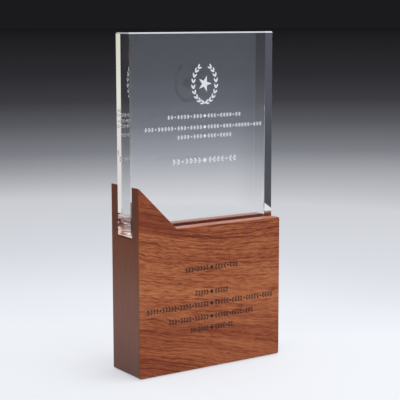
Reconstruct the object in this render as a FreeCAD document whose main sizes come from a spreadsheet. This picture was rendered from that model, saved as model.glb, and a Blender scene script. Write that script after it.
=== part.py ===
"""Award: an upright laminated wood base that holds a clear bevelled crystal slab in its slot.

Frame, in millimetres: X runs along the front face from the raised left end to the right end,
Y runs from the front to the back, Z points up. The origin is the centre of the base's footprint,
on the surface that the award stands on.
"""
import os

import FreeCAD
import Part
import Sketcher

# name, value, what it is
SIZES = [
    ("base_length", 127.0, "length of the wood base, end to end"),
    ("cheek_thickness", 8.8, "thickness of the front and back boards"),
    ("slot_width", 20.4, "thickness of the middle board, which is the width of the slot"),
    ("core_height", 102.0, "height of the middle board: its top is the floor of the slot"),
    ("rail_height", 108.2, "height of the level top of the front and back boards"),
    ("peak_height", 140.7, "height at which the slope meets the left end in a sharp point"),
    ("slope_run", 32.7, "from the left end to the foot of the slope"),
    ("peak_radius", 0.6, "rounding of that point"),
    ("corner_radius", 1.5, "rounding of the lower corners and of the upper right corner"),
    ("arris_radius", 0.5, "rounding of the arrises round the outer faces and of the slot's floor"),
    ("slab_thickness", 20.0, "thickness of the crystal slab"),
    ("slab_height", 147.4, "height of the crystal slab"),
    ("slab_bevel", 1.0, "bevel on every edge of the crystal slab"),
    ("slab_proud", 0.4, "how far the slab stands out of the left end of the slot"),
    ("slab_set_back", 0.4, "how far the slab stands back from the right end of the slot"),
    ("bed_thickness", 0.3, "thickness of the adhesive under the slab"),
    ("bed_inset", 2.5, "from the sides of the slab to the edge of the adhesive"),
    ("dowel_diameter", 8.0, "diameter of the dowels that register the three boards"),
    ("dowel_slack", 0.1, "how much wider than its dowel a bore is"),
    ("dowel_depth", 6.0, "depth of the blind bores in the front and back boards"),
    ("dowel_end_gap", 0.5, "room for glue past each end of a dowel"),
    ("dowel_chamfer", 0.8, "chamfer on the ends of the dowels"),
    ("dowel_inset", 25.0, "from each end of the base to the nearer dowels"),
    ("dowel_low", 25.0, "height of the lower dowels above the bottom of the boards"),
    ("dowel_drop", 24.0, "from the floor of the slot down to the upper dowels"),
    ("pad_thickness", 0.8, "thickness of the felt pad under the boards"),
    ("pad_inset", 2.5, "from the sides of the base to the edge of the pad"),
    ("pad_corner", 3.0, "corner radius of the pad"),
]

FOLDER = "parts"
NEAR = 1e-4
LEVEL_AXIS = -1
ROOT = -1
START, END, CENTRE = 1, 2, 3

doc = FreeCAD.newDocument("award")


# ---- the sheet of driving sizes ----

def make_sheet():
    """One row and one alias for each driving size."""
    sheet = doc.addObject("Spreadsheet::Sheet", "sizes")
    for row, (name, value, meaning) in enumerate(SIZES, start=1):
        sheet.set("A%d" % row, name)
        sheet.set("B%d" % row, str(value))
        sheet.setAlias("B%d" % row, name)
        sheet.set("C%d" % row, meaning)
    doc.recompute()
    return sheet


sizes = make_sheet()


def bind(item, property_name, expression):
    """Ties one property of an object to an expression over the sheet's aliases."""
    words = expression.replace("(", "( ").replace(")", " )").split()
    names = [name for name, _, _ in SIZES]
    terms = ["sizes." + word if word in names else word for word in words]
    item.setExpression(property_name, " ".join(terms))


# ---- bodies and sketches ----

def new_body(label, **place):
    """An empty body, set in its place by expressions for x, y or z."""
    body = doc.addObject("PartDesign::Body", label)
    body.Label = label
    for axis, expression in place.items():
        bind(body, "Placement.Base." + axis, expression)
    return body


def new_sketch(body, name, role):
    """A sketch on one of the body's own origin planes."""
    sketch = body.newObject("Sketcher::SketchObject", name)
    plane = [item for item in body.Origin.OriginFeatures if item.Role == role][0]
    sketch.AttachmentSupport = [(plane, "")]
    sketch.MapMode = "FlatFace"
    return sketch


def dimension(sketch, kind, *arguments, value):
    """A dimension that follows the sheet."""
    first_guess = 1.0
    index = sketch.addConstraint(Sketcher.Constraint(kind, *arguments, first_guess))
    bind(sketch, "Constraints[%d]" % index, value)


def closed_outline(sketch, corners):
    """Joins the corners with lines, and keeps the level and upright ones so."""
    points = [FreeCAD.Vector(across, up, 0) for across, up in corners]
    for line, point in enumerate(points):
        following = points[(line + 1) % len(points)]
        sketch.addGeometry(Part.LineSegment(point, following))
        if abs(point.x - following.x) < NEAR:
            sketch.addConstraint(Sketcher.Constraint("Vertical", line))
        elif abs(point.y - following.y) < NEAR:
            sketch.addConstraint(Sketcher.Constraint("Horizontal", line))
    for line in range(len(points)):
        following = (line + 1) % len(points)
        sketch.addConstraint(Sketcher.Constraint("Coincident", line, END, following, START))


def base_line(sketch):
    """Sets the first line of a board's outline on the level axis, centred and base_length long."""
    sketch.addConstraint(Sketcher.Constraint("PointOnObject", 0, START, LEVEL_AXIS))
    dimension(sketch, "DistanceX", 0, START, 0, END, value="base_length")
    dimension(sketch, "DistanceX", ROOT, START, 0, END, value="base_length / 2")


def centred_rectangle(sketch, length, width):
    """A rectangle about the sketch's origin, with its length and width as expressions."""
    closed_outline(sketch, [(-2, -1), (2, -1), (2, 1), (-2, 1)])
    opposite = (0, START, 1, END)
    sketch.addConstraint(Sketcher.Constraint("Symmetric", *opposite, ROOT, START))
    dimension(sketch, "DistanceX", 0, START, 0, END, value=length)
    dimension(sketch, "DistanceY", 1, START, 1, END, value=width)


def dowel_circles(sketch, diameter):
    """The four dowel places, two near each end, as circles of one diameter."""
    upright = FreeCAD.Vector(0, 0, 1)
    across = sizes.base_length / 2 - sizes.dowel_inset
    heights = [
        (sizes.dowel_low, "dowel_low"),
        (sizes.core_height - sizes.dowel_drop, "core_height - dowel_drop"),
    ]
    circle = 0
    for side in (-1, 1):
        for height, rule in heights:
            centre = FreeCAD.Vector(side * across, height, 0)
            sketch.addGeometry(Part.Circle(centre, upright, sizes.dowel_diameter / 2))
            ends = [(ROOT, START), (circle, CENTRE)][::side]
            dimension(sketch, "DistanceX", *ends[0], *ends[1], value="base_length / 2 - dowel_inset")
            dimension(sketch, "DistanceY", ROOT, START, circle, CENTRE, value=rule)
            dimension(sketch, "Diameter", circle, value=diameter)
            circle += 1


# ---- features ----

def extrude(body, sketch, kind, name, length=None, side="One side", reverse=False):
    """A Pad or Pocket of the sketch. With no length it goes right through."""
    feature = body.newObject("PartDesign::" + kind, name)
    feature.Profile = sketch
    feature.SideType = side
    feature.Reversed = reverse
    if length is None:
        feature.Type = "ThroughAll"
    else:
        bind(feature, "Length", length)
    doc.recompute()
    return feature


def dress(body, kind, name, base, edges, amount):
    """A Fillet or Chamfer on the chosen edges of the feature before it."""
    feature = body.newObject("PartDesign::" + kind, name)
    feature.Base = (base, edges)
    bind(feature, "Radius" if kind == "Fillet" else "Size", amount)
    doc.recompute()
    return feature


def edges_that(feature, test):
    """Names of the feature's edges whose two ends and middle all pass a test."""
    names = []
    for number, edge in enumerate(feature.Shape.Edges, start=1):
        middle = edge.valueAt((edge.FirstParameter + edge.LastParameter) / 2)
        points = [middle] + [vertex.Point for vertex in edge.Vertexes]
        if all(test(point) for point in points):
            names.append("Edge%d" % number)
    return names


def near(value, target):
    return abs(value - target) < NEAR


# ---- the three boards ----

def cheek(label, outward):
    """A front or back board: level rail, slope and peak, with blind bores on its glued face.

    The glued face is the body's XZ plane. The board grows from it along Y, outward.
    """
    front = outward < 0
    place = "- slot_width / 2" if front else "slot_width / 2"
    body = new_body(label, y=place, z="pad_thickness")
    left, right = -sizes.base_length / 2, sizes.base_length / 2
    foot = left + sizes.slope_run
    rail, peak = sizes.rail_height, sizes.peak_height
    outer_face = outward * sizes.cheek_thickness

    outline = new_sketch(body, label + "_outline", "XZ_Plane")
    closed_outline(outline, [(left, 0), (right, 0), (right, rail), (foot, rail), (left, peak)])
    base_line(outline)
    dimension(outline, "DistanceY", 1, START, 1, END, value="rail_height")
    dimension(outline, "DistanceX", 0, START, 2, END, value="slope_run")
    dimension(outline, "DistanceY", 0, START, 3, END, value="peak_height")
    board = extrude(body, outline, "Pad", label + "_board", "cheek_thickness", reverse=not front)

    def on_corner(point):
        at_foot = near(point.z, 0)
        at_rail_end = near(point.x, right) and near(point.z, rail)
        return near(abs(point.x), right) and (at_foot or at_rail_end)

    def on_peak(point):
        return near(point.x, left) and near(point.z, peak)

    def on_outer_face(point):
        return near(point.y, outer_face)

    corners = dress(body, "Fillet", label + "_corners", board,
                    edges_that(board, on_corner), "corner_radius")
    peaked = dress(body, "Fillet", label + "_peak", corners,
                   edges_that(corners, on_peak), "peak_radius")
    dress(body, "Fillet", label + "_arris", peaked,
          edges_that(peaked, on_outer_face), "arris_radius")

    bores = new_sketch(body, label + "_bores", "XZ_Plane")
    dowel_circles(bores, "dowel_diameter + dowel_slack")
    extrude(body, bores, "Pocket", label + "_sockets", "dowel_depth", reverse=front)
    return body


def core_block():
    """The middle board. Its top is the floor of the slot, and the dowels go through it."""
    body = new_body("core_block", z="pad_thickness")
    left, right = -sizes.base_length / 2, sizes.base_length / 2
    top = sizes.core_height

    outline = new_sketch(body, "core_outline", "XZ_Plane")
    closed_outline(outline, [(left, 0), (right, 0), (right, top), (left, top)])
    base_line(outline)
    dimension(outline, "DistanceY", 1, START, 1, END, value="core_height")
    board = extrude(body, outline, "Pad", "core_board", "slot_width", side="Symmetric")

    def on_end(point):
        return near(abs(point.x), right)

    lower = dress(body, "Fillet", "core_corners", board,
                  edges_that(board, lambda point: on_end(point) and near(point.z, 0)),
                  "corner_radius")
    dress(body, "Fillet", "core_arris", lower,
          edges_that(lower, lambda point: on_end(point) and near(point.z, top)),
          "arris_radius")

    bores = new_sketch(body, "core_bores", "XZ_Plane")
    dowel_circles(bores, "dowel_diameter + dowel_slack")
    extrude(body, bores, "Pocket", "core_holes", side="Symmetric")
    return body


def dowel_pins():
    """Four equal dowels, each in one bore of the core and two blind bores of the cheeks."""
    body = new_body("dowel_pins", z="pad_thickness")
    body.AllowCompound = True
    rounds = new_sketch(body, "dowel_rounds", "XZ_Plane")
    dowel_circles(rounds, "dowel_diameter")
    pins = extrude(body, rounds, "Pad", "dowel_lengths",
                   "slot_width + 2 * ( dowel_depth - dowel_end_gap )", side="Symmetric")
    half = sizes.slot_width / 2 + sizes.dowel_depth - sizes.dowel_end_gap
    ends = edges_that(pins, lambda point: near(abs(point.y), half))
    dress(body, "Chamfer", "dowel_ends", pins, ends, "dowel_chamfer")
    return body


# ---- the slab and what it stands on ----

SLAB_LENGTH = "base_length + slab_proud - slab_set_back"
SLAB_CENTRE = "- ( slab_proud + slab_set_back ) / 2"


def crystal_slab():
    """The clear slab, bevelled on all its edges."""
    body = new_body("crystal_slab", x=SLAB_CENTRE,
                    z="pad_thickness + core_height + bed_thickness")
    plan = new_sketch(body, "slab_plan", "XY_Plane")
    centred_rectangle(plan, SLAB_LENGTH, "slab_thickness")
    block = extrude(body, plan, "Pad", "slab_block", "slab_height")
    dress(body, "Chamfer", "slab_bevels", block,
          edges_that(block, lambda point: True), "slab_bevel")
    return body


def bonding_bed():
    """The adhesive between the floor of the slot and the slab."""
    body = new_body("bonding_bed", x=SLAB_CENTRE, z="pad_thickness + core_height")
    plan = new_sketch(body, "bed_plan", "XY_Plane")
    centred_rectangle(plan, SLAB_LENGTH + " - 2 * bed_inset", "slab_thickness - 2 * bed_inset")
    extrude(body, plan, "Pad", "bed_layer", "bed_thickness")
    return body


def base_pad():
    """The felt that the award stands on."""
    body = new_body("base_pad")
    plan = new_sketch(body, "pad_plan", "XY_Plane")
    centred_rectangle(plan, "base_length - 2 * pad_inset",
                      "slot_width + 2 * cheek_thickness - 2 * pad_inset")
    layer = extrude(body, plan, "Pad", "pad_layer", "pad_thickness")
    middle = sizes.pad_thickness / 2

    def on_corner_edge(point):
        return near(abs(point.x), sizes.base_length / 2 - sizes.pad_inset)

    uprights = [
        name for name in edges_that(layer, on_corner_edge)
        if near(layer.getSubObject(name).CenterOfMass.z, middle)
    ]
    dress(body, "Fillet", "pad_corners", layer, uprights, "pad_corner")
    return body


# ---- build, check and write ----

def check(bodies):
    """Stops before anything is written if a feature or a shape has failed."""
    doc.recompute()
    for item in doc.Objects:
        if "Invalid" in item.State or "Error" in item.State:
            raise RuntimeError("%s failed: %s" % (item.Name, item.State))
    for body in bodies:
        if body.Shape.isNull() or not body.Shape.isValid():
            raise RuntimeError("%s has no valid shape" % body.Label)


def write(bodies):
    """One STEP file for each piece, and a line on its size."""
    os.makedirs(FOLDER, exist_ok=True)
    for body in bodies:
        body.Shape.exportStep(os.path.join(FOLDER, body.Label + ".step"))
        box = body.Shape.BoundBox
        print("%-14s %d solid(s) x %.2f..%.2f y %.2f..%.2f z %.2f..%.2f volume %.0f" % (
            body.Label, len(body.Shape.Solids), box.XMin, box.XMax, box.YMin, box.YMax,
            box.ZMin, box.ZMax, body.Shape.Volume))


pieces = [
    cheek("front_cheek", outward=-1),
    cheek("back_cheek", outward=1),
    core_block(),
    dowel_pins(),
    bonding_bed(),
    crystal_slab(),
    base_pad(),
]
check(pieces)
write(pieces)
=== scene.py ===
"""Crystal slab in a slotted wood base: finishes, etched and engraved ornament, and a plain studio."""

import math

import bmesh
import bpy
from bpy.props import FloatProperty, FloatVectorProperty, PointerProperty
from mathutils import Matrix, Vector


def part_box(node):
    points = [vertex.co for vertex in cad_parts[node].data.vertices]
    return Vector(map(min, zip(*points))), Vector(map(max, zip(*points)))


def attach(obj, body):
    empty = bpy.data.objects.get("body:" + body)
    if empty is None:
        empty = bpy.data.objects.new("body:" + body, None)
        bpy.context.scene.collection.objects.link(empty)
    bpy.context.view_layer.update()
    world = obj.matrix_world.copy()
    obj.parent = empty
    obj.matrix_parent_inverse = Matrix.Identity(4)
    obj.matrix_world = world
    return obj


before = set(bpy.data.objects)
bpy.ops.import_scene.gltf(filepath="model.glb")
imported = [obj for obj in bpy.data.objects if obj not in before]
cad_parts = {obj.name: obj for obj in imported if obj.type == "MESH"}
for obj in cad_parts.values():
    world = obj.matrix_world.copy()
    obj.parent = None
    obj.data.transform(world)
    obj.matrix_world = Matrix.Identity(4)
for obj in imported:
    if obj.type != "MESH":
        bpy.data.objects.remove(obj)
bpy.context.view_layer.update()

bl_info = {
    "name": "Crystal award on a wood base",
    "version": (1, 0, 0),
    "blender": (4, 5, 0),
    "location": "3D View > Sidebar > Award",
    "description": "Finishes, ornament and studio for a crystal slab standing in a slotted wood base",
    "category": "Object",
}

MM = 0.001


def paint(red, green, blue):
    """A colour named as 0-255 display values, as the linear values a shader takes."""
    return tuple(
        c / 12.92 if c <= 0.04045 else ((c + 0.055) / 1.055) ** 2.4
        for c in (red / 255, green / 255, blue / 255)
    )


def shade(red, green, blue):
    """The same with an alpha of one, for a node's colour socket."""
    return paint(red, green, blue) + (1.0,)


def solid(colour, gain=1.0):
    """A colour setting, made paler or darker by gain, for a node's colour socket."""
    return tuple(min(c * gain, 1.0) for c in colour) + (1.0,)


def colour_property(name, description, default):
    return FloatVectorProperty(
        name=name, description=description, default=default,
        subtype="COLOR", size=3, min=0.0, max=1.0,
    )


def length_property(name, description, default, low=0.0, high=100.0):
    return FloatProperty(
        name=name, description=description, default=default,
        min=low, max=high, unit="LENGTH", subtype="DISTANCE",
    )


# ---------------------------------------------------------------- settings


class AwardWoodSettings(bpy.types.PropertyGroup):
    """Colours and gloss of the base's hardwood."""

    dark: colour_property("Dark grain", "Colour of the darkest growth lines", paint(98, 36, 16))
    body: colour_property("Body", "Colour of most of the face grain", paint(152, 84, 49))
    light: colour_property("Light grain", "Colour of the palest bands", paint(186, 117, 76))
    end: colour_property("End grain", "Colour of the sawn board ends", paint(121, 66, 42))
    roughness: FloatProperty(
        name="Roughness", description="Roughness of the rubbed oil finish", default=0.5,
        min=0.0, max=1.0, subtype="FACTOR",
    )
    dip: FloatProperty(
        name="Grain dip", description="How far the grain falls for each unit along the base, at its foot",
        default=0.235, min=-1.0, max=1.0,
    )


class AwardCrystalSettings(bpy.types.PropertyGroup):
    """Optics of the slab."""

    index: FloatProperty(
        name="Refractive index", description="Index of refraction of the optical glass",
        default=1.517, min=1.0, max=2.5,
    )
    tint: colour_property("Tint", "Body colour of the glass", (0.985, 0.995, 0.99))


class AwardMarkSettings(bpy.types.PropertyGroup):
    """Sizes and colours of the ornament on the slab and on the base."""

    etch: colour_property("Etch", "Colour of the frosted etching", paint(226, 229, 235))
    ink: colour_property("Engraving", "Colour of the burnt-in engraving", paint(34, 14, 10))
    proud: length_property("Proud", "How far the ornament stands off its face", 0.03 * MM)
    depth: length_property("Depth", "How far the ornament goes below its face", 0.12 * MM)
    wreath_width: length_property("Wreath width", "Outside width of the laurel wreath", 23 * MM)
    wreath_height: length_property("Wreath height", "Outside height of the laurel wreath", 30.5 * MM)
    wreath_centre: length_property("Wreath centre", "Height of the wreath's centre", 212.8 * MM)
    star_radius: length_property("Star radius", "Radius of the star inside the wreath", 6.2 * MM)
    etched_band_height: length_property("Etched band height", "Height of the etched leaf bands", 3.0 * MM)
    large_band_height: length_property("Large band height", "Height of the lowest etched leaf band", 4.2 * MM)
    front_band_height: length_property("Engraved band height", "Height of the engraved leaf bands", 3.9 * MM)


class AwardStageSettings(bpy.types.PropertyGroup):
    """Floor, lamps and camera."""

    floor_radius: length_property("Floor radius", "Radius of the floor", 40.0)
    floor_colour: colour_property("Floor", "Colour of the floor near the award", paint(241, 244, 249))
    far_colour: colour_property("Far floor", "Colour of the floor and room far away", paint(27, 27, 30))
    ambient: FloatProperty(
        name="Ambient", description="Level of the soft light from all round",
        default=0.6, min=0.0, max=5.0,
    )
    key_level: FloatProperty(
        name="Card level", description="Brightness of the white card on the front right",
        default=0.65, min=0.0, max=20.0,
    )
    side_level: FloatProperty(
        name="Side level", description="Brightness of the white card on the right",
        default=0.9, min=0.0, max=20.0,
    )
    top_level: FloatProperty(
        name="Top level", description="Brightness of the soft box overhead",
        default=6.0, min=0.0, max=20.0,
    )
    lens: FloatProperty(
        name="Lens", description="Focal length in millimetres on a 36 mm sensor",
        default=108.477, min=10.0, max=500.0,
    )


class AwardSettings(bpy.types.PropertyGroup):
    """All settings of the award."""

    wood: PointerProperty(type=AwardWoodSettings)
    crystal: PointerProperty(type=AwardCrystalSettings)
    marks: PointerProperty(type=AwardMarkSettings)
    stage: PointerProperty(type=AwardStageSettings)


# ---------------------------------------------------------------- node trees


class Nodes:
    """Adds and joins the nodes of one tree."""

    def __init__(self, tree):
        self.tree = tree
        tree.nodes.clear()

    def add(self, kind, inputs=(), **settings):
        """A node of that kind, with its settings, and its inputs given as (socket, value or output)."""
        node = self.tree.nodes.new("ShaderNode" + kind)
        for name, value in settings.items():
            setattr(node, name, value)
        for socket, value in dict(inputs).items():
            if isinstance(value, bpy.types.NodeSocket):
                self.tree.links.new(value, node.inputs[socket])
            else:
                node.inputs[socket].default_value = value
        return node

    def math(self, operation, *values, clamp=False):
        return self.add("Math", enumerate(values), operation=operation, use_clamp=clamp).outputs[0]

    def nudge(self, base, noise, amount, clamp=False):
        """Base, pushed up and down by a noise that lies about a half."""
        return self.math("MULTIPLY_ADD", self.math("SUBTRACT", noise, 0.5), amount, base, clamp=clamp)

    def join(self, x, y, z):
        return self.add("CombineXYZ", {"X": x, "Y": y, "Z": z}).outputs[0]

    def scaled(self, *pairs):
        """A vector of three (value, scale) pairs, for a pattern that is drawn out one way."""
        return self.join(*[self.math("MULTIPLY", value, scale) for value, scale in pairs])

    def dot(self, vector, direction):
        operands = {0: vector, 1: tuple(direction)}
        return self.add("VectorMath", operands, operation="DOT_PRODUCT").outputs["Value"]

    def noise(self, vector, detail=2.0, roughness=0.5, scale=1.0, distortion=0.0):
        return self.add("TexNoise", {
            "Vector": vector, "Scale": scale, "Detail": detail,
            "Roughness": roughness, "Distortion": distortion,
        }).outputs[0]

    def span(self, value, low, high, start=0.0, end=1.0, smooth=True):
        """Runs from start to end as value goes from low to high."""
        return self.add("MapRange", {
            "Value": value, "From Min": low, "From Max": high, "To Min": start, "To Max": end,
        }, interpolation_type="SMOOTHSTEP" if smooth else "LINEAR").outputs[0]

    def mix(self, factor, first, second, blend="MIX"):
        colours = {0: factor, 6: first, 7: second}
        return self.add("Mix", colours, data_type="RGBA", blend_type=blend).outputs[2]

    def mix_shaders(self, factor, first, second):
        return self.add("MixShader", {0: factor, 1: first, 2: second}).outputs[0]

    def bump(self, height, strength, distance):
        inputs = {"Height": height, "Strength": strength, "Distance": distance}
        return self.add("Bump", inputs).outputs[0]

    def ramp(self, value, stops):
        node = self.add("ValToRGB", {0: value})
        elements = node.color_ramp.elements
        while len(elements) < len(stops):
            elements.new(0.5)
        for element, (position, colour) in zip(elements, stops):
            element.position = position
            element.color = colour
        return node.outputs[0]


def new_material(name):
    material = bpy.data.materials.new(name)
    material.use_nodes = True
    return material, Nodes(material.node_tree)


def surface(n, shader):
    """Makes that shader the material's surface."""
    n.add("OutputMaterial", {"Surface": shader})


def principled(n, inputs):
    """Makes a principled shader with those inputs the material's surface."""
    surface(n, n.add("BsdfPrincipled", inputs).outputs[0])


def object_place(n):
    return n.add("TexCoord").outputs["Object"]


def millimetres(n):
    """Object coordinates in millimetres, as x, y and z."""
    grown = n.add("Mapping", {"Vector": object_place(n), "Scale": (1 / MM,) * 3}).outputs[0]
    return n.add("SeparateXYZ", {0: grown}).outputs[:3]


def direct_look(n):
    """1 on the eye's rays, also by way of glass and gloss, and 0 on rays of soft light."""
    path = n.add("LightPath").outputs
    looked = n.math("MAXIMUM", path["Is Camera Ray"], path["Is Glossy Ray"])
    return n.math("MAXIMUM", looked, path["Is Transmission Ray"])


# ---------------------------------------------------------------- finishes


# in the boards and the adhesive, x runs along the base, y through it and z up from the table, in millimetres


def growth_layers(n, look, x, depth, z, middle):
    """Heights in the tree, smooth and rippled: layers that dip along the board and lie askew in depth."""
    dip = n.math("MULTIPLY_ADD", z, -0.0011, look.dip)
    dip = n.math("MULTIPLY_ADD", n.math("MULTIPLY", x, z), -0.000012, dip)
    contour = n.math("MULTIPLY_ADD", x, dip, z)
    sway = n.noise(n.scaled((x, 0.022), (depth, 0.03), (z, 0.05)), detail=1.0)
    ripple = n.noise(n.scaled((x, 0.13), (depth, 0.1), (z, 0.22)))
    layer = n.math("MULTIPLY_ADD", depth, 0.45, contour)
    layer = n.nudge(layer, sway, 7.0)
    layer = n.nudge(layer, ripple, n.math("MULTIPLY_ADD", middle, 1.2, 0.8))
    return contour, layer, ripple


def face_grain(n, look, x, depth, z, seed):
    """The long faces: bands, streaks, fibres, flecks and dark growth lines. Gives colour, tone and relief."""
    middle = n.math("MULTIPLY", n.span(z, 30.0, 50.0), n.span(z, 104.0, 88.0))
    contour, layer, ripple = growth_layers(n, look, x, depth, z, middle)
    under_top = n.span(contour, 96.0, 98.5)
    peak = n.math("MULTIPLY", under_top, n.span(x, -10.0, -40.0))

    def grain(across, along, detail=2.0, roughness=0.5, shift=0.0):
        """Noise drawn out along the layers: one cell is across mm thick and along mm long."""
        return n.noise(n.join(
            n.math("MULTIPLY_ADD", x, 1.0 / along, shift),
            n.math("MULTIPLY", depth, 2.0 / along),
            n.math("MULTIPLY", layer, 1.0 / across),
        ), detail=detail, roughness=roughness)

    def lines(value, period, narrow, wide):
        """Lines one period apart, as dark as 1 within narrow and gone beyond wide, in periods."""
        off = n.math("SUBTRACT", n.math("FRACT", n.math("DIVIDE", value, period)), 0.5)
        return n.span(n.math("ABSOLUTE", off), narrow, wide, 1.0, 0.0)

    streaks = grain(0.8, 9.0, detail=3.0, roughness=0.65, shift=23.0)
    fibres = grain(0.45, 5.0, detail=1.0, shift=41.0)
    mottle = n.noise(n.scaled((x, 0.13), (depth, 0.1), (layer, 0.4)), distortion=0.4)
    tone = n.nudge(0.5, grain(17.0, 150.0, detail=1.0, shift=3.0), 0.5)
    tone = n.nudge(tone, grain(4.0, 60.0, shift=11.0), 0.55)
    # the fine grain is calmer at the foot, at the peak, to the right and under the top
    quiet = n.math("MAXIMUM", n.math("MULTIPLY", n.span(z, 52.0, 30.0), 0.5), n.math("MULTIPLY", peak, 0.6))
    quiet = n.math("MAXIMUM", quiet, n.math("MULTIPLY", middle, n.span(x, -20.0, 30.0, 0.1, 0.3)))
    quiet = n.math("MAXIMUM", quiet, n.math("MULTIPLY", under_top, 0.25))
    fine = n.nudge(n.nudge(0.0, streaks, 1.5), fibres, 0.8)
    tone = n.math("MULTIPLY_ADD", fine, n.math("SUBTRACT", 1.0, quiet), tone)
    tone = n.nudge(tone, mottle, n.math("MULTIPLY", middle, 0.4))
    # paler in the middle, darker over the first ring and towards the foot
    for part, change in ((middle, 0.08), (under_top, -0.07), (n.span(z, 50.0, 20.0), -0.08)):
        tone = n.math("MULTIPLY_ADD", part, change, tone)
    # dark growth lines: close ones, strongest in the band under the top, and a wide-spaced set of rings
    broken = n.span(grain(2.6, 60.0, detail=1.0, shift=83.0), 0.33, 0.55)
    wander = n.math("MULTIPLY", grain(14.0, 110.0, detail=1.0, shift=57.0), 8.0)
    close = n.math("MULTIPLY", lines(n.math("ADD", layer, wander), 2.6, 0.05, 0.22), broken)
    top_depth = n.math("MULTIPLY_ADD", peak, -0.22, n.math("MULTIPLY", under_top, 0.4))
    low_left = n.math("MULTIPLY", n.span(z, 38.0, 18.0), n.span(x, 30.0, -30.0))
    close_depth = n.math("MAXIMUM", top_depth, n.math("MULTIPLY_ADD", low_left, 0.1, 0.14))
    tone = n.math("SUBTRACT", tone, n.math("MULTIPLY", close, close_depth))
    rings = lines(n.nudge(n.math("ADD", contour, seed * 2.3), ripple, 1.2), 9.5, 0.015, 0.08)
    ring_depth = n.span(z, 60.0, 100.0, 0.12, 0.42)
    ring_depth = n.math("MULTIPLY", ring_depth, n.math("MULTIPLY_ADD", broken, 0.5, 0.5))
    ring_depth = n.math("MULTIPLY", ring_depth, n.math("MULTIPLY_ADD", peak, -0.75, 1.0))
    tone = n.math("SUBTRACT", tone, n.math("MULTIPLY", rings, ring_depth))
    fleck = n.span(grain(0.42, 4.0, detail=0.0, shift=71.0), 0.62, 0.74)
    tone = n.math("MULTIPLY_ADD", fleck, -0.14, tone, clamp=True)
    colour = n.ramp(tone, [
        (0.0, solid(look.dark)),
        (0.3, shade(129, 61, 32)),
        (0.5, solid(look.body)),
        (0.72, shade(170, 102, 62)),
        (1.0, solid(look.light)),
    ])
    colour = n.mix(peak, colour, shade(230, 214, 212), "MULTIPLY")
    relief = n.math("MULTIPLY_ADD", fleck, -0.6, n.math("MULTIPLY_ADD", streaks, 0.5, fibres))
    return colour, tone, relief


def end_grain(n, look, x, depth, z):
    """The sawn ends: pores and faint arcs on a darker ground, with painted shade that darkens them at the
    peak and the foot.
    """
    pores = n.noise(n.scaled((x, 0.2), (depth, 2.4), (z, 1.5)), detail=1.0)
    arcs = n.noise(n.scaled((x, 0.0), (depth, 0.32), (z, 0.03)))
    tone = n.nudge(n.nudge(0.5, pores, 0.5), arcs, 1.1, clamp=True)
    colour = n.mix(tone, solid(look.end, 0.82), solid(look.end, 1.18))
    # painted shade: the ends are darkened towards the peak and towards the foot
    dim = n.math("MAXIMUM", n.span(z, 96.0, 112.0), n.span(z, 42.0, 6.0))
    return n.mix(dim, colour, shade(224, 222, 222), "MULTIPLY")


def board_material(name, look, seed):
    """Rubbed hardwood: wavy grain on the long faces, pores on the ends, and wax on the tops and arrises, with
    painted light on the tops, painted highlight on the arrises, and painted shade in the slot and at the
    ends' peak and foot.
    """
    material, n = new_material(name)
    x, y, z = millimetres(n)
    # each board shows its own part of the tree
    depth = n.math("ADD", y, seed * 37.0)
    face, tone, relief = face_grain(n, look, x, depth, z, seed)
    facing = n.add("SeparateXYZ", {0: n.add("TexCoord").outputs["Normal"]}).outputs
    is_end = n.span(n.math("ABSOLUTE", facing[0]), 0.45, 0.9)
    is_top = n.span(facing[2], 0.8, 0.95)
    sideways = n.math("ABSOLUTE", facing[1])
    arris = n.math("MULTIPLY", n.span(sideways, 0.15, 0.4), n.span(sideways, 0.99, 0.9))
    arris = n.math("MULTIPLY", arris, n.span(facing[2], 0.1, 0.3))
    colour = n.mix(is_end, face, end_grain(n, look, x, depth, z))
    # painted shade: the slot's walls and floor are painted darker and redder, as shade falls in the narrow
    # slot
    slot_wall, slot_floor = (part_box("core_block")[1] / MM).yz
    painted_slot_shade = n.span(n.math("ABSOLUTE", y), slot_wall + 0.3, slot_wall + 0.1)
    painted_slot_shade = n.math("MULTIPLY", painted_slot_shade, n.span(z, slot_floor + 0.05, slot_floor + 0.2))
    colour = n.mix(painted_slot_shade, colour, shade(190, 140, 120), "MULTIPLY")
    # painted highlight makes the rounded arrises paler and painted light from above makes the tops paler; the
    # tops and arrises carry more wax, and the ends less of it
    colour = n.mix(n.math("MULTIPLY", arris, 0.28), colour, shade(218, 148, 120))
    colour = n.mix(n.math("MULTIPLY", is_top, 0.45), colour, shade(212, 130, 98))
    wax = n.math("MAXIMUM", n.math("MULTIPLY", arris, 0.6), n.math("MULTIPLY", is_top, 0.4))
    wax = n.math("MAXIMUM", wax, n.math("MULTIPLY", is_end, n.span(z, 100.0, 50.0, 0.0, 0.35)))
    principled(n, {
        "Base Color": colour, "Roughness": n.nudge(look.roughness, tone, -0.16),
        "Specular IOR Level": 0.2, "Coat Weight": wax, "Coat Roughness": 0.22,
        "Normal": n.bump(relief, 0.12, 0.2 * MM),
    })
    return material


def dowel_material(name):
    """Pale beech pins: straight fine grain and short flecks."""
    material, n = new_material(name)
    x, y, z = millimetres(n)
    fibre = n.noise(n.scaled((x, 1.6), (y, 0.12), (z, 1.6)), detail=3.0)
    fleck = n.span(n.noise(n.scaled((x, 3.0), (y, 0.6), (z, 3.0)), detail=0.0), 0.6, 0.7)
    colour = n.mix(fibre, shade(196, 160, 118), shade(226, 196, 158))
    colour = n.mix(n.math("MULTIPLY", fleck, 0.5), colour, shade(160, 116, 78))
    principled(n, {"Base Color": colour, "Roughness": 0.6, "Normal": n.bump(fibre, 0.2, 0.2 * MM)})
    return material


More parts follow.
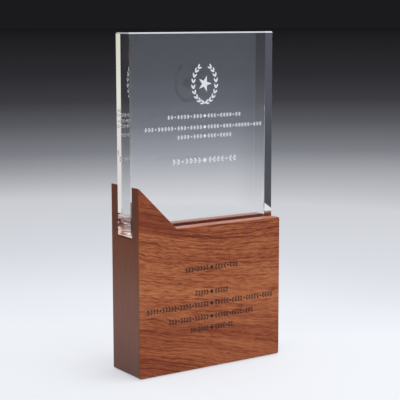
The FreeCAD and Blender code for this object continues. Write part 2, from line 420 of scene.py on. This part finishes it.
def crystal_material(name, look):
    """Polished optical glass with the faintest handling marks."""
    material, n = new_material(name)
    smear = n.noise(object_place(n), scale=55.0, detail=3.0, roughness=0.6)
    glass = n.add("BsdfPrincipled", {
        "Base Color": solid(look.tint), "Roughness": n.span(smear, 0.5, 0.8, 0.0, 0.012),
        "IOR": look.index, "Transmission Weight": 1.0,
    }).outputs[0]
    # light that has met many faces, and light from the lamps, passes straight on
    path = n.add("LightPath").outputs
    deep = n.math("GREATER_THAN", path["Glossy Depth"], 4.5)
    straight = n.math("MAXIMUM", deep, path["Is Shadow Ray"])
    clear = n.add("BsdfTransparent", {"Color": (0.93, 0.945, 0.94, 1.0)}).outputs[0]
    inner = n.mix_shaders(straight, glass, clear)
    surface(n, n.mix_shaders(path["Is Camera Ray"], inner, glass))
    return material


def adhesive_material(name):
    """Clear cured adhesive with fine trapped bubbles."""
    material, n = new_material(name)
    bubbles = n.add("TexVoronoi", {"Vector": object_place(n), "Scale": 900.0}).outputs["Distance"]
    principled(n, {
        "Base Color": shade(246, 243, 236), "Roughness": n.span(bubbles, 0.1, 0.3, 0.25, 0.03),
        "IOR": 1.5, "Transmission Weight": 1.0,
    })
    return material


def zigzag_reflections(n, x, y, open_end, thickness):
    """Painted reflection in slanting bands that cross the slab and turn back at each face, as images bounce
    between its faces: above 0 inside them, up to about 10.
    """
    half, slant = thickness / 2, 0.652
    travel = n.math("MULTIPLY", n.math("SUBTRACT", x, open_end), slant)
    lanes = []
    for way in (y, n.math("SUBTRACT", thickness, y)):
        lane = n.math("WRAP", n.math("SUBTRACT", way, travel), thickness, -thickness)
        inside = n.math("COMPARE", lane, 0.0, half + 0.7)
        lanes.append(n.math("MULTIPLY_ADD", inside, n.math("ADD", lane, half), -half))
    return n.math("MAXIMUM", *lanes)


def bond_reflection_material(name):
    """Adhesive cured against the glass, coloured with painted reflection: a grey film with pale ripples,
    under cream, rosy and dark bands that stand in for the wood and the studio reflected between the glass's
    faces.
    """
    material, n = new_material(name)
    x, y = millimetres(n)[:2]
    slab_low, slab_high = (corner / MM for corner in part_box("crystal_slab"))
    flow = n.join(n.math("MULTIPLY", x, 0.14), n.math("MULTIPLY", y, 0.1), 3.0)
    run = n.noise(flow, detail=3.0, roughness=0.6)
    # the film, painted with reflection, from the open end of the slot inwards
    film = n.ramp(n.span(n.nudge(x, run, 3.0), -64.0, 64.0, smooth=False), [
        (0.02, shade(222, 200, 190)),
        (0.09, shade(232, 218, 210)),
        (0.13, shade(180, 174, 174)),
        (0.165, shade(250, 246, 244)),
        (0.205, shade(250, 250, 252)),
        (0.235, shade(120, 114, 110)),
        (0.29, shade(124, 114, 110)),
        (0.36, shade(218, 204, 198)),
        (0.41, shade(160, 144, 140)),
        (0.445, shade(146, 130, 126)),
        (0.485, shade(66, 54, 54)),
        (0.53, shade(140, 126, 128)),
        (0.575, shade(252, 240, 246)),
        (0.62, shade(160, 142, 146)),
        (0.7, shade(110, 92, 94)),
        (0.76, shade(132, 116, 116)),
        (0.81, shade(200, 184, 182)),
        (0.86, shade(142, 126, 124)),
        (0.93, shade(208, 192, 188)),
    ])
    reflection_place = zigzag_reflections(n, x, y, slab_low.x, slab_high.y - slab_low.y)
    # painted reflection: near the open end the bands are cream along one side and rosy along the other
    rosy = n.mix(n.span(reflection_place, 4.6, 6.4), shade(164, 106, 96), shade(230, 200, 182))
    rosy = n.mix(n.span(reflection_place, 0.9, 0.1), rosy, film)
    # painted reflection: further in the bands are dark with a pale rim, and narrow until they are gone
    rim = n.span(x, -9.0, 28.0, 0.0, 7.0, smooth=False)
    rim = n.math("ADD", rim, n.span(x, 28.0, 50.0, 0.0, 4.0, smooth=False))
    past_rim = n.math("SUBTRACT", reflection_place, rim)
    dark = n.mix(n.span(past_rim, -1.4, -0.2), film, shade(228, 194, 188))
    dark = n.mix(n.span(past_rim, -0.2, 0.8), dark, shade(112, 66, 54))
    principled(n, {
        "Base Color": n.mix(n.span(x, -16.5, -13.0), rosy, dark), "Roughness": 0.6,
        "Specular IOR Level": 0.0, "Normal": n.bump(run, 0.4, 0.2 * MM),
    })
    return material


def felt_material(name):
    """Pressed dark felt: matted fibres with a soft sheen."""
    material, n = new_material(name)
    matted = n.noise(object_place(n), scale=900.0, detail=4.0, roughness=0.65)
    clouds = n.noise(object_place(n), scale=70.0)
    tone = n.math("MULTIPLY_ADD", clouds, 0.5, n.math("MULTIPLY", matted, 0.6), clamp=True)
    principled(n, {
        "Base Color": n.mix(tone, shade(22, 20, 20), shade(62, 56, 54)), "Roughness": 0.95,
        "Normal": n.bump(matted, 0.7, 0.3 * MM), "Sheen Weight": 0.4, "Sheen Roughness": 0.5,
    })
    return material


def etch_material(name, colour):
    """Frosted glass left by etching: pale, matt and finely grained."""
    material, n = new_material(name)
    grains = n.noise(object_place(n), scale=5000.0)
    tone = n.mix(grains, solid(colour, 0.86), solid(colour))
    principled(n, {"Base Color": tone, "Roughness": 0.75, "Normal": n.bump(grains, 0.4, 0.05 * MM)})
    return material


def engraving_material(name, colour):
    """Char left by the engraving in the wood: near black, uneven and dry."""
    material, n = new_material(name)
    char = n.noise(object_place(n), scale=2200.0, detail=3.0, roughness=0.6)
    tone = n.mix(char, solid(colour), solid(colour, 2.6))
    principled(n, {"Base Color": tone, "Roughness": 0.85, "Normal": n.bump(char, 0.5, 0.1 * MM)})
    return material


def dress(node, material):
    """Gives a CAD node its finish, and leaves its mesh alone."""
    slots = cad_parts[node].material_slots
    if not slots:
        raise RuntimeError(f"{node} has no material slot")
    for slot in slots:
        slot.material = material


def new_object(work, name, material):
    """Puts an object in the scene that has the finished bmesh as its mesh."""
    mesh = bpy.data.meshes.new(name)
    work.to_mesh(mesh)
    work.free()
    mesh.materials.append(material)
    made = bpy.data.objects.new(name, mesh)
    bpy.context.scene.collection.objects.link(made)
    return made


# ---------------------------------------------------------------- ornament


def outline(work, radius, corners, shape=Matrix.Identity(4)):
    """A flat regular face about the origin. Gives its corners."""
    made = bmesh.ops.create_circle(work, cap_ends=True, radius=radius, segments=corners, matrix=shape)
    return made["verts"]


def leaf(work, length, width, place):
    """A pointed leaf in the sheet's plane, its middle at the origin of place and its length along X."""
    taper = 0.35
    made = outline(work, 1.0, 12)
    for vert in made:
        along, across = vert.co.x, vert.co.y
        vert.co = Vector((along * length / 2, across * (1 - taper * along * along) * width / 2, 0))
    bmesh.ops.transform(work, matrix=place, verts=made)


def lozenge(work, width, height, place):
    made = outline(work, 1.0, 4, Matrix.Diagonal((width / 2, height / 2, 1, 1)))
    bmesh.ops.transform(work, matrix=place, verts=made)


def bead(work, diameter, place):
    bmesh.ops.transform(work, matrix=place, verts=outline(work, diameter / 2, 16))


def star(work, radius, place):
    """A five-pointed star with its first point up."""
    made = outline(work, radius, 10, Matrix.Rotation(math.pi / 2, 4, "Z"))
    notch = math.cos(math.radians(72)) / math.cos(math.radians(36))
    from_top = sorted(made, key=lambda v: math.atan2(v.co.x, v.co.y) % math.tau)
    for vert in from_top[1::2]:
        vert.co *= notch
    bmesh.ops.transform(work, matrix=place, verts=made)


def at(x, y, turn=0.0):
    """A place in the sheet's plane, turned about the sheet's normal."""
    return Matrix.Translation((x, y, 0)) @ Matrix.Rotation(turn, 4, "Z")


def bar(work, length, thickness, place):
    made = bmesh.ops.create_grid(work, x_segments=1, y_segments=1, size=0.5)["verts"]
    bmesh.ops.transform(work, matrix=place @ Matrix.Diagonal((length, thickness, 1, 1)), verts=made)


def garland(work, width, height, middle, groups, spacing):
    """A level garland: a stem with pairs of leaves in mirrored halves round a lozenge.

    Beads part each half into groups, at these shares of its length. The spacing is a share of the height.
    """
    lozenge(work, height, height * 0.9, at(0, middle))
    start = height * 0.7
    room = width / 2 - start
    count = max(1, round(room / (height * spacing)))
    pitch = room / count
    beads = {round(count * share) for share in groups}
    lean = math.radians(40)
    leaf_length, leaf_width, stem, rise = height * 0.6, height * 0.31, height * 0.09, height * 0.29
    for side in (1, -1):
        for step in range(count):
            place = side * (start + pitch * (step + 0.5))
            if step in beads:
                bead(work, height * 0.4, at(place, middle))
                continue
            bar(work, pitch, stem, at(place, middle))
            for up in (1, -1):
                turn = up * lean if side > 0 else math.pi - up * lean
                leaf(work, leaf_length, leaf_width, at(place, middle + up * rise, turn))


def finish_plate(work, name, face_y, proud, depth, material):
    """Turns a flat sheet of ornament into closed plates set in a face that looks along -Y."""
    bmesh.ops.recalc_face_normals(work, faces=work.faces)
    for face in work.faces:
        if face.normal.z < 0:
            face.normal_flip()
    sheet = list(work.faces)
    grown = bmesh.ops.extrude_face_region(work, geom=sheet, use_keep_orig=True)["geom"]
    lifted = [g for g in grown if isinstance(g, bmesh.types.BMVert)]
    bmesh.ops.translate(work, verts=lifted, vec=(0, 0, proud + depth))
    bmesh.ops.recalc_face_normals(work, faces=work.faces)
    stand = Matrix.Translation((0, face_y + depth, 0)) @ Matrix.Rotation(math.pi / 2, 4, "X")
    bmesh.ops.transform(work, matrix=stand, verts=work.verts)
    piece = new_object(work, name, material)
    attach(piece, "root")


# ---------------------------------------------------------------- operators


class AWARD_OT_wood(bpy.types.Operator):
    """Finishes the two cheeks, the core and the dowels of the base"""

    bl_idname = "award.wood"
    bl_label = "Wood base"

    def execute(self, context):
        look = context.scene.award.wood
        dress("front_cheek", board_material("front_board", look, 0.0))
        dress("back_cheek", board_material("back_board", look, 1.0))
        dress("core_block", board_material("core_board", look, 2.0))
        dress("dowel_pins", dowel_material("beech_dowel"))
        return {"FINISHED"}


class AWARD_OT_crystal(bpy.types.Operator):
    """Finishes the crystal slab and the clear adhesive under it"""

    bl_idname = "award.crystal"
    bl_label = "Crystal slab"

    def execute(self, context):
        dress("crystal_slab", crystal_material("polished_crystal", context.scene.award.crystal))
        dress("bonding_bed", adhesive_material("clear_adhesive"))
        return {"FINISHED"}


class AWARD_OT_bond(bpy.types.Operator):
    """Lays the patchy skin of adhesive that shows through the crystal's foot, coloured with painted
    reflection
    """

    bl_idname = "award.bond"
    bl_label = "Adhesive skin with painted reflection"

    def execute(self, context):
        slab_low, slab_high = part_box("crystal_slab")
        middle, size = (slab_low + slab_high) / 2, slab_high - slab_low
        # a thin tray just inside the slab's foot, whose rim climbs the slab's lower bevel
        inside, lift, climb, wall = 0.07 * MM, 0.05 * MM, 0.95 * MM, 0.04 * MM
        rim = Matrix.Translation((middle.x, middle.y, slab_low.z + lift + climb))
        spread = Matrix.Diagonal((size.x - 2 * inside, size.y - 2 * inside, 1.0, 1.0))
        work = bmesh.new()
        bmesh.ops.create_grid(work, x_segments=1, y_segments=1, size=0.5)
        bmesh.ops.transform(work, matrix=rim @ spread, verts=work.verts)
        bmesh.ops.inset_region(
            work, faces=work.faces[:], thickness=climb, depth=-climb, use_boundary=True, use_even_offset=True,
        )
        bmesh.ops.solidify(work, geom=work.faces[:], thickness=-wall)
        bmesh.ops.recalc_face_normals(work, faces=work.faces)
        # the skin's colours are painted reflection of the wood and the studio seen between the glass's faces
        skin = new_object(work, "adhesive_skin_painted_reflection", bond_reflection_material("adhesive_painted_reflection"))
        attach(skin, "root")
        return {"FINISHED"}


class AWARD_OT_pad(bpy.types.Operator):
    """Finishes the felt pad under the base"""

    bl_idname = "award.pad"
    bl_label = "Felt pad"

    def execute(self, context):
        dress("base_pad", felt_material("dark_felt"))
        return {"FINISHED"}


class AWARD_OT_emblem(bpy.types.Operator):
    """Etches a laurel wreath round a star into the crystal's front"""

    bl_idname = "award.emblem"
    bl_label = "Etched wreath"

    def execute(self, context):
        marks = context.scene.award.marks
        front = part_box("crystal_slab")[0].y
        centre = marks.wreath_centre
        leaf_length, leaf_width = 3.7 * MM, 1.35 * MM
        across = marks.wreath_width / 2 - leaf_width
        tall = marks.wreath_height / 2 - leaf_width
        # pairs of leaves climb each branch from its foot to its tip, splayed to either side of it
        pairs, foot, tip = 9, math.radians(-78), math.radians(62)
        splay, offset = 0.42, leaf_width * 0.62
        work = bmesh.new()
        star(work, marks.star_radius, at(0, centre))
        for side in (1, -1):
            for pair in range(pairs):
                turn = foot + (tip - foot) * pair / (pairs - 1)
                heading = math.atan2(tall * math.cos(turn), -across * math.sin(turn))
                outwards = Vector((math.sin(heading), -math.cos(heading)))
                for way in (1, -1):
                    x, y = Vector((across * math.cos(turn), tall * math.sin(turn))) - outwards * way * offset
                    swing = heading + splay * way
                    swing = swing if side > 0 else math.pi - swing
                    leaf(work, leaf_length, leaf_width, at(side * x, centre + y, swing))
        bead(work, 1.3 * MM, at(0, centre - tall - 0.2 * MM))
        frost = etch_material("frosted_etch", marks.etch)
        finish_plate(work, "etched_wreath", front, marks.proud, marks.depth, frost)
        return {"FINISHED"}


class AWARD_OT_etched_bands(bpy.types.Operator):
    """Etches four level bands of leaves under the wreath"""

    bl_idname = "award.etched_bands"
    bl_label = "Etched bands"

    def execute(self, context):
        marks = context.scene.award.marks
        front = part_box("crystal_slab")[0].y
        small, large = marks.etched_band_height, marks.large_band_height
        work = bmesh.new()
        for width, height, middle, groups in (
            (66 * MM, small, 189.2 * MM, (0.3, 0.7)),
            (105 * MM, small, 181.0 * MM, (0.2, 0.45, 0.8)),
            (49 * MM, small, 174.3 * MM, (0.4,)),
            (58 * MM, large, 156.4 * MM, (0.5,)),
        ):
            garland(work, width, height, middle, groups, spacing=0.95)
        frost = bpy.data.materials.get("frosted_etch") or etch_material("frosted_etch", marks.etch)
        finish_plate(work, "etched_bands", front, marks.proud, marks.depth, frost)
        return {"FINISHED"}


class AWARD_OT_engraved_bands(bpy.types.Operator):
    """Engraves five level bands of leaves into the front of the base"""

    bl_idname = "award.engraved_bands"
    bl_label = "Engraved bands"

    def execute(self, context):
        marks = context.scene.award.marks
        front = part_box("front_cheek")[0].y
        height = marks.front_band_height
        work = bmesh.new()
        for width, middle, groups in (
            (48 * MM, 77.0 * MM, (0.5,)),
            (30 * MM, 58.6 * MM, ()),
            (114 * MM, 49.6 * MM, (0.22, 0.5, 0.78)),
            (77 * MM, 39.6 * MM, (0.35, 0.7)),
            (39 * MM, 31.0 * MM, (0.5,)),
        ):
            garland(work, width, height, middle, groups, spacing=0.66)
        char = engraving_material("burnt_engraving", marks.ink)
        finish_plate(work, "engraved_bands", front, marks.proud, marks.depth, char)
        return {"FINISHED"}


# ---------------------------------------------------------------- studio


# where the camera stands, in metres, and how it is turned from a level look along +Y
CAMERA_PLACE = (-0.50083, -0.74418, 0.2588)
CAMERA_YAW, CAMERA_TILT, CAMERA_ROLL = (math.radians(angle) for angle in (-34.065, -8.477, -0.107))
# watts that each square metre of a lamp's face takes for a level of one
WATTS_PER_AREA = 4


def area_lamp(name, place, target, width, height, level, seen_in_gloss=False):
    """A soft lamp whose face is as bright as level, pointed at target, and unseen by the camera."""
    lamp = bpy.data.lights.new(name, "AREA")
    lamp.shape = "RECTANGLE"
    lamp.size, lamp.size_y = width, height
    lamp.energy = WATTS_PER_AREA * width * height * level
    holder = bpy.data.objects.new(name, lamp)
    aim = (Vector(target) - Vector(place)).to_track_quat("-Z", "Y")
    holder.matrix_world = Matrix.LocRotScale(Vector(place), aim, None)
    holder.visible_camera = False
    holder.visible_glossy = seen_in_gloss
    holder.visible_transmission = seen_in_gloss
    bpy.context.scene.collection.objects.link(holder)


def floor_material(stage):
    """Pale near the award and fading far away, for the eye and for glass, and plain white for soft light."""
    material, n = new_material("studio_floor")
    place = object_place(n)
    ahead, rightwards = (0.56, 0.83, 0.0), (0.83, -0.56, 0.0)
    away = n.add("VectorMath", {0: place}, operation="LENGTH").outputs["Value"]
    at_least = n.math("MAXIMUM", away, 0.01)
    heading = n.math("DIVIDE", n.dot(place, ahead), at_least)
    side = n.math("DIVIDE", n.dot(place, rightwards), at_least)
    # it fades mostly behind the award: near by sooner to the right, and far off sooner to the left
    lopsided = n.math("MULTIPLY_ADD", side, n.span(away, 1.3, 0.7, -0.12, 0.25), 1.0)
    away = n.math("MULTIPLY", away, n.span(heading, 0.2, 0.85, 0.34, 1.0))
    away = n.math("MULTIPLY", away, lopsided)
    nearest, decades = 0.1, 2.6
    fade = n.math("LOGARITHM", n.math("MAXIMUM", away, nearest), 10.0)
    fade = n.math("DIVIDE", n.math("SUBTRACT", fade, math.log10(nearest)), decades)

    def reach(metres):
        return math.log10(metres / nearest) / decades

    seen = n.ramp(fade, [
        (reach(0.12), solid(stage.floor_colour)),
        (reach(0.24), shade(234, 237, 243)),
        (reach(0.46), shade(218, 221, 227)),
        (reach(0.84), shade(211, 213, 218)),
        (reach(1.15), shade(176, 178, 184)),
        (reach(1.52), shade(134, 136, 143)),
        (reach(2.2), shade(97, 98, 104)),
        (reach(3.07), shade(67, 67, 72)),
        (reach(5.0), shade(50, 50, 54)),
        (reach(10.0), shade(40, 39, 42)),
        (reach(35.0), solid(stage.far_colour)),
    ])
    black = shade(0, 0, 0)
    lit = n.add("BsdfDiffuse", {"Color": n.mix(0.4, black, seen)}).outputs[0]
    glow = n.add("Emission", {"Color": n.mix(0.56, black, seen), "Strength": 1.0}).outputs[0]
    shown = n.add("AddShader", {0: lit, 1: glow}).outputs[0]
    plain = n.add("BsdfDiffuse", {"Color": shade(232, 233, 235)}).outputs[0]
    surface(n, n.mix_shaders(direct_look(n), plain, shown))
    return material


def reflector(name, work, colour):
    """A self-lit studio card that only glass and gloss see."""
    material, n = new_material(name)
    # a look straight through the glass misses the card, as the bare eye does
    reflected = n.math("GREATER_THAN", n.add("LightPath").outputs["Glossy Depth"], 0.5)
    clear = n.add("BsdfTransparent").outputs[0]
    glow = n.add("Emission", {"Color": colour(n), "Strength": 1.0}).outputs[0]
    surface(n, n.mix_shaders(reflected, clear, glow))
    material.cycles.emission_sampling = "NONE"
    card = new_object(work, name, material)
    card.visible_camera = False
    card.visible_diffuse = False
    card.visible_shadow = False


def dark_flag():
    """A dark card on the back left that gives the glass its dark edge, cut askew at its foot."""
    middle, yaw, height = Vector((-0.346, 0.606, 0.42)), math.radians(34), 0.84
    along = Vector((math.cos(yaw), math.sin(yaw), 0.0))
    work = bmesh.new()
    bmesh.ops.create_grid(work, x_segments=1, y_segments=1, size=0.5)
    stand = (
        Matrix.Translation(middle)
        @ Matrix.Rotation(yaw, 4, "Z")
        @ Matrix.Rotation(math.radians(90), 4, "X")
        @ Matrix.Diagonal((1.0, height, 1.0, 1.0))
    )
    bmesh.ops.transform(work, matrix=stand, verts=work.verts)
    cut_slope, cut_foot = 0.8, middle - 0.045 * along
    cut_foot.z = 0.0
    bmesh.ops.bisect_plane(
        work, geom=[*work.verts, *work.edges, *work.faces], plane_co=cut_foot,
        plane_no=Vector((0.0, 0.0, 1.0)) - cut_slope * along, clear_inner=True,
    )

    def colour(n):
        place = object_place(n)
        z = n.add("SeparateXYZ", {0: place}).outputs[2]
        off = n.math("SUBTRACT", n.dot(place, along), middle.dot(along))
        right = n.ramp(z, [
            (0.0, shade(34, 38, 50)),
            (0.085, shade(22, 25, 40)),
            (0.155, shade(58, 56, 67)),
            (0.232, shade(74, 72, 83)),
        ])
        left = n.ramp(z, [
            (0.0, shade(24, 20, 14)),
            (0.17, shade(24, 20, 14)),
            (0.215, shade(111, 108, 118)),
        ])
        return n.mix(n.span(off, -0.06, -0.09), right, left)

    reflector("dark_flag", work, colour)


def white_sweep():
    """A curved white wall round the front right, brightest low down, where the floor lights it."""
    radius, height = 0.8, 0.95
    start, sweep = math.radians(-20), math.radians(135)
    work = bmesh.new()
    foot = work.verts.new((radius * math.sin(start), -radius * math.cos(start), 0.0))
    head = work.verts.new((radius * math.sin(start), -radius * math.cos(start), height))
    edge = work.edges.new((foot, head))
    bmesh.ops.spin(
        work, geom=[foot, head, edge], cent=(0, 0, 0), axis=(0, 0, 1), angle=sweep, steps=40, use_merge=False,
    )

    def colour(n):
        x, y, z = n.add("SeparateXYZ", {0: object_place(n)}).outputs[:3]
        front = n.ramp(z, [
            (0.0, shade(224, 208, 210)),
            (0.03, shade(235, 230, 238)),
            (0.08, shade(232, 236, 251)),
            (0.12, shade(200, 206, 224)),
            (0.15, shade(194, 202, 221)),
            (0.19, shade(181, 188, 202)),
            (0.95, shade(181, 185, 200)),
        ])
        side = n.ramp(z, [
            (0.0, shade(246, 238, 236)),
            (0.05, shade(242, 231, 229)),
            (0.11, shade(238, 230, 228)),
            (0.165, shade(241, 239, 230)),
            (0.225, shade(232, 228, 212)),
            (0.95, shade(190, 188, 180)),
        ])
        turn = n.math("ARCTAN2", x, n.math("MULTIPLY", y, -1.0))
        # past the right end of the slab's reflection it is dimmer, most of all at its foot
        dim = n.math("SUBTRACT", n.span(z, 0.0, 0.2, 0.5, 0.93, smooth=False), 1.0)
        dim = n.math("MULTIPLY_ADD", n.span(turn, 0.655, 0.68), dim, 1.0)
        brightness = n.math("MULTIPLY", dim, 1.7)
        front = n.add("VectorMath", {0: front, "Scale": brightness}, operation="SCALE").outputs[0]
        return n.mix(n.span(turn, math.radians(46), math.radians(53)), front, side)

    reflector("white_sweep", work, colour)


def studio_world(stage):
    """Soft light, stronger from the right, and a room that is dark at the horizon and pale overhead."""
    world = bpy.data.worlds.new("studio_room")
    bpy.context.scene.world = world
    world.use_nodes = True
    n = Nodes(world.node_tree)
    direction = n.add("TexCoord").outputs["Generated"]
    side = n.dot(direction, (0.62, -0.62, 0.47))
    level = n.span(side, -1.0, 1.0, stage.ambient * 0.62, stage.ambient * 1.3, smooth=False)
    soft = n.add("Background", {"Color": shade(250, 250, 252), "Strength": level}).outputs[0]
    overhead = n.ramp(n.add("SeparateXYZ", {0: direction}).outputs[2], [
        (0.0, solid(stage.far_colour)),
        (0.05, solid(stage.far_colour)),
        (0.1, shade(205, 206, 208)),
        (0.3, shade(225, 226, 228)),
        (1.0, shade(215, 216, 218)),
    ])
    room = n.add("Background", {"Color": overhead, "Strength": 1.0}).outputs[0]
    n.add("OutputWorld", {"Surface": n.mix_shaders(direct_look(n), soft, room)})


class AWARD_OT_stage(bpy.types.Operator):
    """Lays the floor, hangs the lamps and places the camera"""

    bl_idname = "award.stage"
    bl_label = "Studio"

    def execute(self, context):
        stage = context.scene.award.stage
        work = bmesh.new()
        bmesh.ops.create_circle(work, cap_ends=True, radius=stage.floor_radius, segments=96)
        floor = new_object(work, "studio_floor", floor_material(stage))
        studio_world(stage)
        area_lamp(
            "front_card", place=(0.72, -1.06, 0.43), target=(0.0, 0.0, 0.43),
            width=0.95, height=0.84, level=stage.key_level,
        )
        area_lamp(
            "side_card", place=(1.25, -0.25, 0.46), target=(0.0, -0.25, 0.46),
            width=1.4, height=0.9, level=stage.side_level,
        )
        area_lamp(
            "top_box", place=(0.1, -0.2, 1.35), target=(0.0, -0.05, 0.1),
            width=0.6, height=0.6, level=stage.top_level, seen_in_gloss=True,
        )
        white_sweep()
        dark_flag()
        lens = bpy.data.cameras.new("studio_camera")
        lens.sensor_width = 36.0
        lens.lens = stage.lens
        lens.clip_start = 0.05
        lens.clip_end = 200.0
        camera = bpy.data.objects.new("studio_camera", lens)
        turn = (
            Matrix.Rotation(CAMERA_YAW, 4, "Z")
            @ Matrix.Rotation(math.pi / 2 + CAMERA_TILT, 4, "X")
            @ Matrix.Rotation(CAMERA_ROLL, 4, "Z")
        )
        camera.matrix_world = Matrix.Translation(CAMERA_PLACE) @ turn
        context.scene.collection.objects.link(camera)
        context.scene.camera = camera
        context.scene.view_settings.view_transform = "Standard"
        return {"FINISHED"}


class AWARD_PT_pieces(bpy.types.Panel):
    """Lists the award's pieces and settings"""

    bl_idname = "AWARD_PT_pieces"
    bl_label = "Crystal award"
    bl_space_type = "VIEW_3D"
    bl_region_type = "UI"
    bl_category = "Award"

    def draw(self, context):
        award = context.scene.award
        for operator in OPERATORS:
            self.layout.operator(operator.bl_idname)
        for group in (award.wood, award.crystal, award.marks, award.stage):
            box = self.layout.box()
            for name in group.__annotations__:
                box.prop(group, name)


OPERATORS = (
    AWARD_OT_stage,
    AWARD_OT_wood,
    AWARD_OT_crystal,
    AWARD_OT_bond,
    AWARD_OT_pad,
    AWARD_OT_emblem,
    AWARD_OT_etched_bands,
    AWARD_OT_engraved_bands,
)
CLASSES = (
    AwardWoodSettings,
    AwardCrystalSettings,
    AwardMarkSettings,
    AwardStageSettings,
    AwardSettings,
    *OPERATORS,
    AWARD_PT_pieces,
)


def register():
    for item in CLASSES:
        bpy.utils.register_class(item)
    bpy.types.Scene.award = PointerProperty(type=AwardSettings)


def unregister():
    del bpy.types.Scene.award
    for item in reversed(CLASSES):
        bpy.utils.unregister_class(item)


def main():
    register()
    for operator in OPERATORS:
        group, name = operator.bl_idname.split(".")
        getattr(getattr(bpy.ops, group), name)()


if __name__ == "__main__":
    main()
